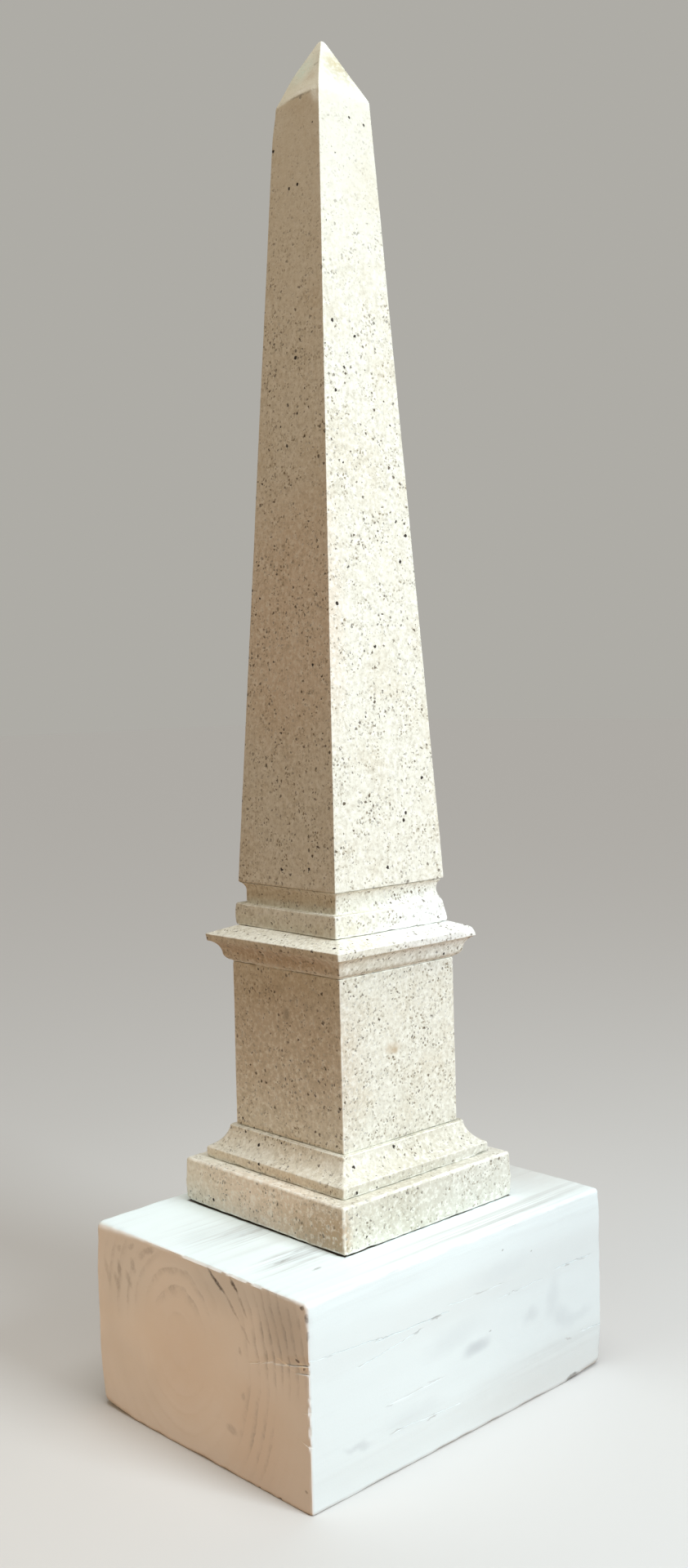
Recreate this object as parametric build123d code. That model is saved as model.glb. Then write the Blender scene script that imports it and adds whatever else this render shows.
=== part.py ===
from build123d import *
import math
import os

# Table-top obelisk in pale speckled stone, standing on a sawn timber block.
# Millimetres. The origin is the centre of the block's underside, +X runs along the timber's grain, +Z is up.

# Timber block
block_length = 165.4
block_width = 125.0
block_height = 75.0
block_edge_radius = 1.6

# Where the pedestal stands on the block, from the block's centre, and how far it and the shaft are turned
stand_x = 4.3
stand_y = 6.6
pedestal_turn = -0.4
shaft_turn = -1.8

# Pedestal die, the plain square trunk that the mouldings are fitted round
die_width = 64.3
die_height = 67.6
die_taper = 0.22
die_arris_radius = 0.5

# Plinth, the plain slab under the mouldings
plinth_projection = 15.5
plinth_height = 18.4
plinth_taper = 0.6
plinth_edge_radius = 1.5

# Pedestal base moulding: an upright band with a hollow slope above it, up to a small lip round the die
base_band_projection = 9.05
base_band_height = 4.3
base_slope_height = 7.9
base_slope_hollow = 1.3
base_lip_projection = 2.05
base_lip_height = 1.2
base_edge_radius = 0.6

# Pedestal cap: a bed moulding that swells and then hollows, an upright fascia and a weathered top
cap_bed_projection = 0.8
cap_swell_projection = 3.1
cap_swell_height = 4.0
cap_swell_bulge = 0.6
cap_hollow_projection = 6.9
cap_hollow_height = 4.5
cap_hollow_depth = 0.8
cap_soffit_step = 0.5
cap_fascia_height = 3.2
cap_fascia_lean = 0.5
cap_weathering_height = 3.3
cap_edge_radius = 0.6

# Shaft, a needle that tapers up to a pyramidion
shaft_foot_width = 59.4
shaft_shoulder_width = 26.8
shaft_height = 307.5
pyramidion_height = 24.4
pyramidion_tip_width = 2.6
shaft_arris_radius = 0.6

# Shaft base moulding: a nearly upright roll below, a ledge, and a hollow neck under the shaft
roll_projection = 0.95
roll_height = 8.9
roll_bulge = 0.35
roll_edge_radius = 0.9
neck_depth = 2.1
neck_height = 4.6
neck_flare_height = 3.9
neck_flare_hollow = 0.7

# How far a moulding's bar runs on past its mitres before the crossing bar cuts it
bar_overrun = 5.0


def narrowed(width, height, taper):
    """Width at the top of sides that lean in by taper degrees over height."""
    return width - 2 * height * math.tan(math.radians(taper))


# Levels, from the underside of the block to the foot of the shaft
plinth_seat = block_height
base_seat = plinth_seat + plinth_height
base_moulding_height = base_band_height + base_slope_height + base_lip_height
die_seat = base_seat + base_moulding_height
cap_seat = die_seat + die_height
cap_height = cap_swell_height + cap_hollow_height + cap_fascia_height + cap_weathering_height
shaft_base_seat = cap_seat + cap_height
shaft_base_height = roll_height + neck_height + neck_flare_height
shaft_seat = shaft_base_seat + shaft_base_height


def stood(piece, level, turn):
    """Piece moved from its own seat to its level above the block, over the pedestal's centre."""
    return Location((stand_x, stand_y, level), (0, 0, turn)) * piece


def tapered_square(width, height, taper):
    """Square trunk whose four sides lean in by taper degrees."""
    foot = Rectangle(width, width)
    top_width = narrowed(width, height, taper)
    head = Pos(0, 0, height) * Rectangle(top_width, top_width)
    return loft([foot, head], ruled=True)


def bent(start, end, rise):
    """Arc from start to end that stands off its chord by rise, to the left of the way from start to end."""
    way = Vector(*end) - Vector(*start)
    middle = (Vector(*start) + Vector(*end)) / 2
    aside = Vector(-way.Y, way.X).normalized() * rise
    return ThreePointArc(start, middle + aside, end)


def eased(outline, corners, radius):
    """Outline with each of the named corners rounded to the radius."""
    for corner in corners:
        vertex = outline.vertices().sort_by_distance(Vector(*corner))[0]
        outline = fillet(vertex, radius)
    return outline


def mitred(half_outline):
    """Square moulding with the same outline on its four sides, mitred where they meet."""
    side = Plane.XZ * half_outline
    outline = side + mirror(side, about=Plane.YZ)
    reach = half_outline.bounding_box().max.X + bar_overrun
    bar = extrude(outline, amount=reach, both=True)
    return bar & bar.rotate(Axis.Z, 90)


def make_timber_block():
    block = Box(block_length, block_width, block_height, align=(Align.CENTER, Align.CENTER, Align.MIN))
    return fillet(block.edges(), block_edge_radius)


def make_plinth():
    slab = tapered_square(die_width + 2 * plinth_projection, plinth_height, plinth_taper)
    return fillet(slab.edges(), plinth_edge_radius)


def make_pedestal_base_moulding():
    die_half = die_width / 2
    slope_top = base_band_height + base_slope_height
    band_foot = (die_half + base_band_projection, 0)
    band_top = (die_half + base_band_projection, base_band_height)
    lip_foot = (die_half + base_lip_projection, slope_top)
    lip_top = (die_half + base_lip_projection, base_moulding_height)
    edges = [
        Line((0, 0), band_foot),
        Line(band_foot, band_top),
        bent(band_top, lip_foot, base_slope_hollow),
        Line(lip_foot, lip_top),
        Line(lip_top, (0, base_moulding_height)),
        Line((0, base_moulding_height), (0, 0)),
    ]
    return mitred(eased(make_face(edges), [band_top, lip_top], base_edge_radius))


def make_pedestal_die():
    trunk = tapered_square(die_width, die_height, die_taper)
    arrises = [edge for edge in trunk.edges() if edge.bounding_box().size.Z > die_height / 2]
    return fillet(arrises, die_arris_radius)


def make_pedestal_cap():
    die_half = narrowed(die_width, die_height, die_taper) / 2
    hollow_foot_level = cap_swell_height
    fascia_foot_level = hollow_foot_level + cap_hollow_height
    fascia_top_level = fascia_foot_level + cap_fascia_height
    bed = (die_half + cap_bed_projection, 0)
    swell_top = (die_half + cap_swell_projection, hollow_foot_level)
    hollow_top = (die_half + cap_hollow_projection, fascia_foot_level)
    fascia_foot = (die_half + cap_hollow_projection + cap_soffit_step, fascia_foot_level)
    fascia_top = (fascia_foot[0] + cap_fascia_lean, fascia_top_level)
    weathering_top = (shaft_foot_width / 2 + roll_projection, cap_height)
    edges = [
        Line((0, 0), bed),
        bent(bed, swell_top, -cap_swell_bulge),
        bent(swell_top, hollow_top, cap_hollow_depth),
        Line(hollow_top, fascia_foot),
        Line(fascia_foot, fascia_top),
        Line(fascia_top, weathering_top),
        Line(weathering_top, (0, cap_height)),
        Line((0, cap_height), (0, 0)),
    ]
    return mitred(eased(make_face(edges), [fascia_top], cap_edge_radius))


def make_shaft_base_moulding():
    shaft_half = shaft_foot_width / 2
    neck_half = shaft_half - neck_depth
    neck_top_level = roll_height + neck_height
    roll_foot = (shaft_half + roll_projection, 0)
    roll_top = (shaft_half + roll_projection, roll_height)
    neck_foot = (neck_half, roll_height)
    neck_top = (neck_half, neck_top_level)
    flare_top = (shaft_half, shaft_base_height)
    edges = [
        Line((0, 0), roll_foot),
        bent(roll_foot, roll_top, -roll_bulge),
        Line(roll_top, neck_foot),
        Line(neck_foot, neck_top),
        bent(neck_top, flare_top, neck_flare_hollow),
        Line(flare_top, (0, shaft_base_height)),
        Line((0, shaft_base_height), (0, 0)),
    ]
    return mitred(eased(make_face(edges), [roll_top, neck_foot], roll_edge_radius))


def make_shaft():
    foot = Rectangle(shaft_foot_width, shaft_foot_width)
    shoulder = Pos(0, 0, shaft_height) * Rectangle(shaft_shoulder_width, shaft_shoulder_width)
    tip_level = shaft_height + pyramidion_height
    tip = Pos(0, 0, tip_level) * Rectangle(pyramidion_tip_width, pyramidion_tip_width)
    needle = loft([foot, shoulder, tip], ruled=True)
    arrises = [edge for edge in needle.edges() if edge.bounding_box().max.Z > shaft_height / 2]
    return fillet(arrises, shaft_arris_radius)


pieces = {
    "timber_block": make_timber_block(),
    "plinth": stood(make_plinth(), plinth_seat, pedestal_turn),
    "pedestal_base_moulding": stood(make_pedestal_base_moulding(), base_seat, pedestal_turn),
    "pedestal_die": stood(make_pedestal_die(), die_seat, pedestal_turn),
    "pedestal_cap": stood(make_pedestal_cap(), cap_seat, pedestal_turn),
    "shaft_base_moulding": stood(make_shaft_base_moulding(), shaft_base_seat, shaft_turn),
    "shaft": stood(make_shaft(), shaft_seat, shaft_turn),
}

os.makedirs("parts", exist_ok=True)
for name, piece in pieces.items():
    export_step(piece, f"parts/{name}.step")
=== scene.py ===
import math

import bmesh
import bpy
from mathutils import Matrix, Vector, noise


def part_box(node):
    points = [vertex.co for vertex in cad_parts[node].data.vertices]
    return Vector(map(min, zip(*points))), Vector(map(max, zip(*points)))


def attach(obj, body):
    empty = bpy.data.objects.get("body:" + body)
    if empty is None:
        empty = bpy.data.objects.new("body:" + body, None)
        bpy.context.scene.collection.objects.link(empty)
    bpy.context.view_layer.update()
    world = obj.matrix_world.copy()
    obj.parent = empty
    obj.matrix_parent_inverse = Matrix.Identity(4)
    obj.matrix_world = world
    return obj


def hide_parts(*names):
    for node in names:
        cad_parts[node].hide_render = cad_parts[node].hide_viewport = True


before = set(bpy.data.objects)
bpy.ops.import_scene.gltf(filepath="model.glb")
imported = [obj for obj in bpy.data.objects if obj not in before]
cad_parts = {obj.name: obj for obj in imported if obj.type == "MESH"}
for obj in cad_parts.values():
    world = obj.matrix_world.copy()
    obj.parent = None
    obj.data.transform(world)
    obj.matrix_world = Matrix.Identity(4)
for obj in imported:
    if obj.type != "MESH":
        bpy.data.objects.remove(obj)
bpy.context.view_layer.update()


# Timber block
# A short length of sawn softwood, its grain along X and its end grain on the two short sides. It was cut
# round the pith and its arrises were rubbed down by hand. Thin white paint is brushed over it, which the
# growth rings show through, and it has dried since and split along its side and into its end.
MM = 0.001
BLOCK_LOW, BLOCK_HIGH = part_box("timber_block")
BLOCK_MIDDLE = (BLOCK_LOW + BLOCK_HIGH) / 2
BLOCK_REACH = (BLOCK_HIGH - BLOCK_LOW) / 2
# The faces that are split and marked, in millimetres: x of the end, y of the long side and z of the top.
END = -82.7
SIDE = -62.5
TOP = 75.0
BLOCK_BEVEL = 1.5 * MM
BLOCK_CUTS = (100, 146, 88)
PITH = Vector((0.0, 9.5, 41.5)) * MM
RING_FLATNESS = 0.8
RING_RADII = (9.0, 17.3, 22.7, 28.4, 33.8, 40.7, 46.0, 50.8, 54.8, 58.7, 62.8, 67.2, 71.4, 75.6, 80.0, 85.0)
RING_WANDER = 1.3 * MM
RAISED_GRAIN = 0.05 * MM
# An edge longer than this crosses a face. Shorter ones lie in a rounded arris.
FACE_SPAN = 6 * MM
# How far a split draws the wood down on either side of it, and how far it takes to run out at its ends.
SPLIT_REACH = 3 * MM
SPLIT_TAPER = 2 * MM


def ring_number(point):
    """How many growth rings lie between the pith and a point. The fraction is the share of the next one."""
    stretched = Vector((point.x * 7.0, point.y * 60.0, point.z * 60.0))
    wander = noise.noise(stretched) * RING_WANDER
    radius = (math.hypot(point.y - PITH.y, RING_FLATNESS * (point.z - PITH.z)) + wander) / MM
    inner = 0.0
    for count, outer in enumerate(RING_RADII):
        if radius < outer:
            return count + (radius - inner) / (outer - inner)
        inner = outer
    return float(len(RING_RADII))


def late_wood(point):
    """How far a point is into the hard late wood that closes each ring, from 0 to 1."""
    share = ring_number(point) % 1.0
    return max(0.0, (share - 0.55) / 0.42) if share < 0.97 else (1.0 - share) / 0.03


def along(edge, axis, least):
    """True of an edge that runs along an axis and is longer than least."""
    way = edge.verts[1].co - edge.verts[0].co
    return abs(way[axis]) > 0.999 * way.length and way.length > least


def gridded_block(low, high, bevel, cuts):
    """Box with rounded edges whose faces are cut into a fine grid."""
    bm = bmesh.new()
    bmesh.ops.create_cube(bm, size=1.0)
    bmesh.ops.scale(bm, vec=high - low, verts=bm.verts)
    bmesh.ops.translate(bm, vec=(low + high) / 2, verts=bm.verts)
    bmesh.ops.bevel(bm, geom=bm.edges[:], offset=bevel, offset_type="OFFSET", segments=4, profile=0.5,
                    affect="EDGES", clamp_overlap=True, material=-1)
    for axis, count in enumerate(cuts):
        edges = [edge for edge in bm.edges if along(edge, axis, FACE_SPAN)]
        bmesh.ops.subdivide_edges(bm, edges=edges, cuts=count, use_grid_fill=True)
    return bm


def rubbed_round(point, middle, reach, radius):
    """Where a point on a box comes to when the edge that it is on is rubbed down to a radius."""
    here = point - middle
    core = Vector([max(-r + radius, min(r - radius, x)) for x, r in zip(here, reach)])
    out = here - core
    return middle + core + out.normalized() * radius if out.length > 0 else point


def near(point, place, reach):
    """1 at a place, given in millimetres, easing to 0 at reach from it."""
    share = max(0.0, 1.0 - (point / MM - Vector(place)).length / reach)
    return share * share * (3.0 - 2.0 * share)


def block_edge_radius(point):
    """Radius that the block's edges are rubbed to, larger at the corners that were handled most."""
    radius = 1.1 + 0.6 * noise.noise(point * 45.0) + 0.6 * noise.noise(point * 190.0)
    radius -= 0.6 * near(point, (10.0, SIDE, TOP), 110.0) + 0.75 * near(point, (END, -15.0, TOP), 75.0)
    radius += 1.9 * near(point, (END, -SIDE, TOP), 34.0) + 3.2 * near(point, (END, -SIDE, 0.0), 26.0)
    radius += 0.9 * near(point, (END, SIDE, TOP), 16.0) - 0.7 * near(point, (END, SIDE, 20.0), 60.0)
    radius += 0.8 * max(0.0, noise.noise(point * 330.0)) * near(point, (END, SIDE, 40.0), 60.0)
    radius += 2.6 * near(point, (-END, SIDE, 0.0), 24.0) + 1.2 * near(point, (-END, SIDE, TOP), 14.0)
    return max(0.35, radius) * MM


def split(bm, opened, start, end, out, wide, deep, wander, step=0.0):
    """Hairline split in the face that looks along out, its upper lip sunk by step. All in millimetres."""
    start, end, out = Vector(start) * MM, Vector(end) * MM, Vector(out)
    length = (end - start).length
    way = (end - start).normalized()
    aside = way.cross(out).normalized()

    def within(point):
        rel = point - start
        beside = -1 * MM < rel.dot(way) < length + 1 * MM and abs(rel.dot(aside)) < SPLIT_REACH
        return beside and rel.dot(out) > -3 * MM

    faces = [face for face in bm.faces if face.normal.dot(out) > 0.6 and within(face.calc_center_median())]
    edges = list({edge for face in faces for edge in face.edges})
    geom = faces + edges + list({vert for face in faces for vert in face.verts})
    for cut in (-0.5, 0.0, 0.5):
        geom = bmesh.ops.bisect_plane(bm, geom=geom, dist=1e-7, plane_no=aside,
                                      plane_co=start + aside * cut * wide * MM)["geom"]
    for vert in [part for part in geom if isinstance(part, bmesh.types.BMVert)]:
        reached = (vert.co - start).dot(way)
        off = (vert.co - start).dot(aside)
        sway = noise.noise(vert.co * 110.0 + out) * wander * MM
        if abs(off) < 1e-6 and 0 <= reached <= length:
            broken = min(1.0, max(0.0, 0.55 + 1.6 * noise.noise(vert.co * 75.0 + way)))
            share = broken * min(1.0, reached / SPLIT_TAPER + 0.2, (length - reached) / SPLIT_TAPER + 0.2)
            vert[opened] = max(vert[opened], share * min(1.0, 0.25 + 0.55 * deep))
            vert.co -= out * deep * share * MM
        elif off * aside.z > 0 and 0 <= reached <= length:
            sunk = min(1.0, reached / SPLIT_REACH) * max(0.0, 1.0 - abs(off) / SPLIT_REACH)
            vert.co -= out * step * sunk * MM
        vert.co += aside * sway * max(0.0, 1.0 - abs(off) / SPLIT_REACH)
        inner = [max(low, min(high, x)) for x, low, high in zip(vert.co, BLOCK_LOW, BLOCK_HIGH)]
        vert.co = Vector(inner)


def finished(bm, name, sharp=35.0):
    """Mesh object from bm, smooth shaded except at edges sharper than the angle, in degrees."""
    bmesh.ops.recalc_face_normals(bm, faces=bm.faces)
    mesh = bpy.data.meshes.new(name)
    bm.to_mesh(mesh)
    bm.free()
    mesh.polygons.foreach_set("use_smooth", [True] * len(mesh.polygons))
    mesh.set_sharp_from_angle(angle=math.radians(sharp))
    piece = bpy.data.objects.new(name, mesh)
    bpy.context.scene.collection.objects.link(piece)
    return piece


# Each split on the long side is x and z of its start, x and z of its end, its width and its depth.
SIDE_SPLITS = (
    (END, 55.1, -47.0, 52.2, 0.22, 0.30), (-50.0, 51.6, -11.0, 50.8, 0.28, 0.50),
    (-12.0, 53.2, 20.0, 52.6, 0.20, 0.30), (17.0, 47.6, 43.0, 47.2, 0.20, 0.25),
    (53.0, 48.8, -END, 48.5, 0.28, 0.55), (-58.0, 45.4, -26.0, 48.6, 0.20, 0.25),
    (-46.0, 26.4, -14.0, 26.9, 0.20, 0.12), (-46.0, 15.8, -6.0, 14.2, 0.20, 0.15),
    (69.0, 18.4, -END, 17.4, 0.30, 0.45),
)
# Each split on the end is y and z of its start, y and z of its end, its width, its depth and its step.
END_SPLITS = (
    (-30.5, 44.9, -37.5, 46.9, 0.25, 0.6, 0.1), (-37.0, 46.4, -44.0, 49.0, 0.35, 0.7, 0.25),
    (-43.4, 48.3, -50.5, 50.2, 0.35, 0.7, 0.3), (-50.0, 50.4, SIDE, 53.4, 0.50, 0.9, 0.6),
    (-55.5, 49.0, SIDE, 50.4, 0.50, 0.8, 0.4), (-59.5, 35.8, SIDE, 36.5, 0.25, 0.3, 0.15),
    (-58.0, 25.3, SIDE, 24.0, 0.25, 0.3, 0.15), (-8.4, 73.6, -18.6, 66.6, 0.35, 0.5, 0.0),
    (-21.8, 73.2, -24.4, 70.0, 0.35, 0.5, 0.0),
)

block_bm = gridded_block(BLOCK_LOW, BLOCK_HIGH, BLOCK_BEVEL, BLOCK_CUTS)
opened = block_bm.verts.layers.float.new("opened")
block_bm.normal_update()
for vert in block_bm.verts:
    point = rubbed_round(vert.co, BLOCK_MIDDLE, BLOCK_REACH, block_edge_radius(vert.co))
    if vert.co.z > BLOCK_LOW.z + 0.1 * MM:
        sway = 0.20 * noise.noise(vert.co * 20.0) + 0.06 * noise.noise(vert.co * 120.0)
        bowed = min(0.0, sway - 0.06) * MM
        point += vert.normal * (bowed + RAISED_GRAIN * (late_wood(vert.co) - 1.0))
    vert.co = point
block_bm.normal_update()
for x0, z0, x1, z1, wide, deep in SIDE_SPLITS:
    split(block_bm, opened, (x0, SIDE, z0), (x1, SIDE, z1), (0, -1, 0), wide, deep, wander=0.7)
for y0, z0, y1, z1, wide, deep, step in END_SPLITS:
    split(block_bm, opened, (END, y0, z0), (END, y1, z1), (-1, 0, 0), wide, deep, wander=0.7, step=step)
split(block_bm, opened, (-46.0, -61.0, TOP), (50.0, -60.8, TOP), (0, 0, 1), wide=0.2, deep=0.25, wander=0.8)

# Broad patches of the paint, and of painted shade on the top and the side, each its centre, its reach along
# each way, its turn about Y and its strength.
paint_patches = {
    "thin_paint_and_shade": (
        ((END, -50.0, 62.0), (4.0, 18.0, 18.0), 0.0, 0.75),
        ((END, -16.0, 66.0), (4.0, 22.0, 12.0), 0.0, 0.22),
        # Darker towards the bottom of the side's far half.
        ((50.0, SIDE, 2.0), (80.0, 4.0, 26.0), 0.0, 0.30),
        # Painted shade: the top darkens towards its far end.
        ((78.0, -10.0, TOP), (60.0, 75.0, 4.0), 0.0, 0.80),
        ((10.0, -52.0, TOP), (95.0, 10.0, 4.0), 0.0, 0.32),
    ),
    "warm_end_patches": (
        # Warmer patches on the middle and foot of the end.
        ((END, 8.0, 36.0), (4.0, 40.0, 34.0), 0.0, 0.45),
        ((END, -34.0, 18.0), (4.0, 26.0, 34.0), 0.0, 0.50),
    ),
    "cold_smudges_and_shade": (
        # Painted shade: the side greys towards its far end.
        ((75.0, SIDE, 40.0), (110.0, 4.0, 70.0), 0.0, 0.40),
        ((-50.0, -26.0, TOP), (22.0, 8.0, 4.0), 0.0, 0.36),
        ((END, 44.0, 58.0), (4.0, 26.0, 24.0), 0.0, 0.22),
        ((END, -20.0, 70.0), (4.0, 50.0, 10.0), 0.0, 0.25),
        ((-48.0, 7.0, TOP), (20.0, 7.0, 4.0), 0.0, 0.30),
        ((4.5, SIDE, 32.0), (11.0, 4.0, 4.0), -2.0, 0.85),
        ((36.5, SIDE, 34.8), (7.0, 4.0, 4.8), -8.0, 0.50),
        ((50.5, SIDE, 38.5), (5.5, 4.0, 13.0), 14.0, 0.40),
        ((56.5, SIDE, 28.0), (11.0, 4.0, 7.0), 38.0, 0.45),
        ((67.0, SIDE, 25.4), (12.0, 4.0, 4.0), -8.0, 0.36),
        ((-60.0, SIDE, 16.4), (10.0, 4.0, 2.2), 10.0, 0.50),
        ((-9.0, SIDE, 40.0), (22.0, 4.0, 7.0), -8.0, 0.22),
        ((20.0, SIDE, 58.0), (26.0, 4.0, 6.0), -4.0, 0.20),
        ((-30.0, SIDE, 18.0), (24.0, 4.0, 6.0), 4.0, 0.18),
    ),
    "rings_show": (
        ((END, 11.0, 62.0), (4.0, 30.0, 14.0), 0.0, 0.55),
        ((END, 45.0, 58.0), (4.0, 16.0, 20.0), 0.0, 0.50),
        ((END, -46.0, 58.0), (4.0, 24.0, 24.0), 0.0, 0.85),
        ((END, -34.0, 22.0), (4.0, 14.0, 24.0), 0.0, 0.55),
        ((-56.0, -27.0, TOP), (26.0, 12.0, 4.0), 0.0, 0.75),
        ((-56.0, 10.0, TOP), (28.0, 20.0, 4.0), 0.0, 0.55),
        ((20.0, -54.0, TOP), (80.0, 9.0, 4.0), 0.0, 0.48),
        ((72.0, 10.0, TOP), (14.0, 45.0, 4.0), 0.0, 0.25),
    ),
    "dragged_paint": (
        ((22.0, -52.5, TOP), (100.0, 14.0, 4.0), 0.0, 0.44),
        ((-56.0, -26.0, TOP), (26.0, 14.0, 4.0), 0.0, 0.38),
        ((-60.0, 14.0, TOP), (26.0, 34.0, 4.0), 0.0, 0.26),
        ((72.0, 12.0, TOP), (14.0, 45.0, 4.0), 0.0, 0.35),
    ),
}


def patched(ragged, patches):
    """How far the patches cover a point, given in millimetres, from 0 to 1."""
    bare = 1.0
    for centre, reach, turn, strength in patches:
        away = ragged - Vector(centre)
        if turn:
            away.rotate(Matrix.Rotation(math.radians(-turn), 3, "Y"))
        far = Vector((away.x / reach[0], away.y / reach[1], away.z / reach[2])).length
        share = min(1.0, max(0.0, (1.0 - far) / 0.85))
        bare *= 1.0 - strength * share * share * (3.0 - 2.0 * share)
    return 1.0 - bare


layers = [block_bm.verts.layers.float.new(name) for name in paint_patches]
for vert in block_bm.verts:
    ragged = vert.co / MM + noise.noise_vector(vert.co * 260.0) * 1.3
    for layer, patches in zip(layers, paint_patches.values()):
        vert[layer] = patched(ragged, patches)
block = finished(block_bm, "painted_block")
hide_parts("timber_block")
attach(block, "root")


def add(tree, kind, inputs=None, **settings):
    """Node of a kind with its settings. An input is a number, a colour or another node's socket."""
    made = tree.nodes.new(kind)
    for key, value in settings.items():
        setattr(made, key, value)
    for key, value in (inputs or {}).items():
        if isinstance(value, bpy.types.NodeSocket):
            tree.links.new(value, made.inputs[key])
        else:
            made.inputs[key].default_value = value
    return made


def maths(tree, operation, *values):
    return add(tree, "ShaderNodeMath", dict(enumerate(values)), operation=operation).outputs[0]


def product(tree, *values):
    result = values[0]
    for value in values[1:]:
        result = maths(tree, "MULTIPLY", result, value)
    return result


def eased(tree, value, low, high, to_low=0.0, to_high=1.0):
    """Value eased from low..high to to_low..to_high, and held there outside."""
    inputs = {"Value": value, "From Min": low, "From Max": high, "To Min": to_low, "To Max": to_high}
    return add(tree, "ShaderNodeMapRange", inputs, interpolation_type="SMOOTHSTEP").outputs["Result"]


def tinted(tree, share, under, over):
    """Under with over laid on it by share."""
    mix = add(tree, "ShaderNodeMix", data_type="RGBA", blend_type="MIX")
    for socket, value in ((mix.inputs["Factor"], share), (mix.inputs[6], under), (mix.inputs[7], over)):
        if isinstance(value, bpy.types.NodeSocket):
            tree.links.new(value, socket)
        else:
            socket.default_value = value if isinstance(value, float) else (*value, 1.0)
    return mix.outputs[2]


def grained(tree, place, scale, detail=3.0, roughness=0.55):
    inputs = {"Vector": place, "Scale": scale, "Detail": detail, "Roughness": roughness}
    return add(tree, "ShaderNodeTexNoise", inputs).outputs["Fac"]


def torn_edges(tree, place, scale, reach):
    """Place shifted by noise, so that whatever is laid out on it has ragged edges."""
    inputs = {"Vector": place, "Scale": scale, "Detail": 1.0}
    ragged = add(tree, "ShaderNodeTexNoise", inputs).outputs["Color"]
    inputs = {0: ragged, 1: (0.5, 0.5, 0.5)}
    centred = add(tree, "ShaderNodeVectorMath", inputs, operation="SUBTRACT").outputs[0]
    shift = add(tree, "ShaderNodeVectorMath", {0: centred, "Scale": reach}, operation="SCALE").outputs[0]
    return add(tree, "ShaderNodeVectorMath", {0: place, 1: shift}, operation="ADD").outputs[0]


def spot(tree, place, centre, reach, turn=(0.0, 0.0, 0.0), inner=0.3):
    """1 about a centre, easing to 0 at reach along each way, in millimetres, turned by degrees."""
    inputs = {"Vector": place, "Location": Vector(centre) * MM, "Scale": Vector(reach) * MM,
              "Rotation": [math.radians(a) for a in turn]}
    moved = add(tree, "ShaderNodeMapping", inputs, vector_type="TEXTURE").outputs[0]
    far = add(tree, "ShaderNodeVectorMath", {0: moved}, operation="LENGTH").outputs["Value"]
    return eased(tree, far, inner, 1.0, 1.0, 0.0)


def new_material(name):
    material = bpy.data.materials.new(name)
    material.use_nodes = True
    tree = material.node_tree
    tree.nodes.clear()
    shader = add(tree, "ShaderNodeBsdfPrincipled")
    add(tree, "ShaderNodeOutputMaterial", {"Surface": shader.outputs[0]})
    place = add(tree, "ShaderNodeTexCoord").outputs["Object"]
    return material, tree, shader, place


PAINT_WHITE = (0.85, 0.955, 0.97)
PAINT_END = (0.84, 0.84, 0.82)
END_WARM_TINT = (0.75, 0.675, 0.595)
PAINT_THIN_AND_SHADE = (0.60, 0.59, 0.56)
PAINT_COLD_AND_SHADE = (0.61, 0.68, 0.71)
RING_GREY_AND_SPLIT_SHADE = (0.40, 0.40, 0.39)
FLAKE_HIGHLIGHT = (0.98, 0.95, 0.86)
GRIME_AND_SPLIT_SHADE = (0.11, 0.085, 0.065)
GAP_SHADE = (0.075, 0.05, 0.032)

paint, tree, shader, place = new_material("thin_white_paint")
along_grain = add(tree, "ShaderNodeMapping", {"Vector": place, "Scale": (0.07, 1.0, 1.0)}).outputs[0]
torn = torn_edges(tree, place, 420.0, 1.6 * MM)
axes = add(tree, "ShaderNodeSeparateXYZ", {"Vector": place}).outputs
end_face = eased(tree, maths(tree, "ABSOLUTE", axes["X"]), 81.6 * MM, 82.3 * MM)

# Growth rings: the distance from the pith, bent by noise, read off as a ring number.
across = maths(tree, "SUBTRACT", axes["Y"], PITH.y)
upward = product(tree, maths(tree, "SUBTRACT", axes["Z"], PITH.z), RING_FLATNESS)
squares = maths(tree, "ADD", product(tree, across, across), product(tree, upward, upward))
radius = maths(tree, "SQRT", squares)
bend = maths(tree, "SUBTRACT", grained(tree, along_grain, 60.0, 2.0), 0.5)
radius = maths(tree, "ADD", radius, product(tree, bend, 3.2 * MM))
waver = maths(tree, "SUBTRACT", grained(tree, along_grain, 300.0, 3.0), 0.5)
radius = maths(tree, "ADD", radius, product(tree, waver, 1.7 * MM))
reading = add(tree, "ShaderNodeFloatCurve", {"Value": product(tree, radius, 1.0 / (RING_RADII[-1] * MM))})
curve = reading.mapping.curves[0]
for count, ring in enumerate(RING_RADII[:-1]):
    curve.points.new(ring / RING_RADII[-1], (count + 1) / len(RING_RADII))
for point in curve.points:
    point.handle_type = "VECTOR"
reading.mapping.update()
share = maths(tree, "FRACT", product(tree, reading.outputs[0], float(len(RING_RADII))))
late = product(tree, eased(tree, share, 0.45, 0.93), eased(tree, share, 1.0, 0.94))

# Where the paint is so thin that the rings show.
patchy = grained(tree, along_grain, 95.0, 3.0)
off_the_end = eased(tree, end_face, 0.0, 1.0, 1.0, 0.25)
shows = product(tree, eased(tree, patchy, 0.48, 0.74, 0.02, 0.24), off_the_end)
patch = {}
for name in paint_patches:
    patch[name] = add(tree, "ShaderNodeAttribute", attribute_name=name).outputs["Fac"]
shows = maths(tree, "ADD", shows, patch["rings_show"])
streaks = grained(tree, along_grain, 900.0, 3.0)
base = tinted(tree, end_face, PAINT_WHITE, PAINT_END)
thinner = eased(tree, grained(tree, along_grain, 30.0, 2.0), 0.45, 0.75, 0.0, 0.22)
base = tinted(tree, thinner, base, PAINT_THIN_AND_SHADE)
base = tinted(tree, patch["thin_paint_and_shade"], base, PAINT_THIN_AND_SHADE)
base = tinted(tree, patch["warm_end_patches"], base, END_WARM_TINT)
base = tinted(tree, patch["cold_smudges_and_shade"], base, PAINT_COLD_AND_SHADE)
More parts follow.
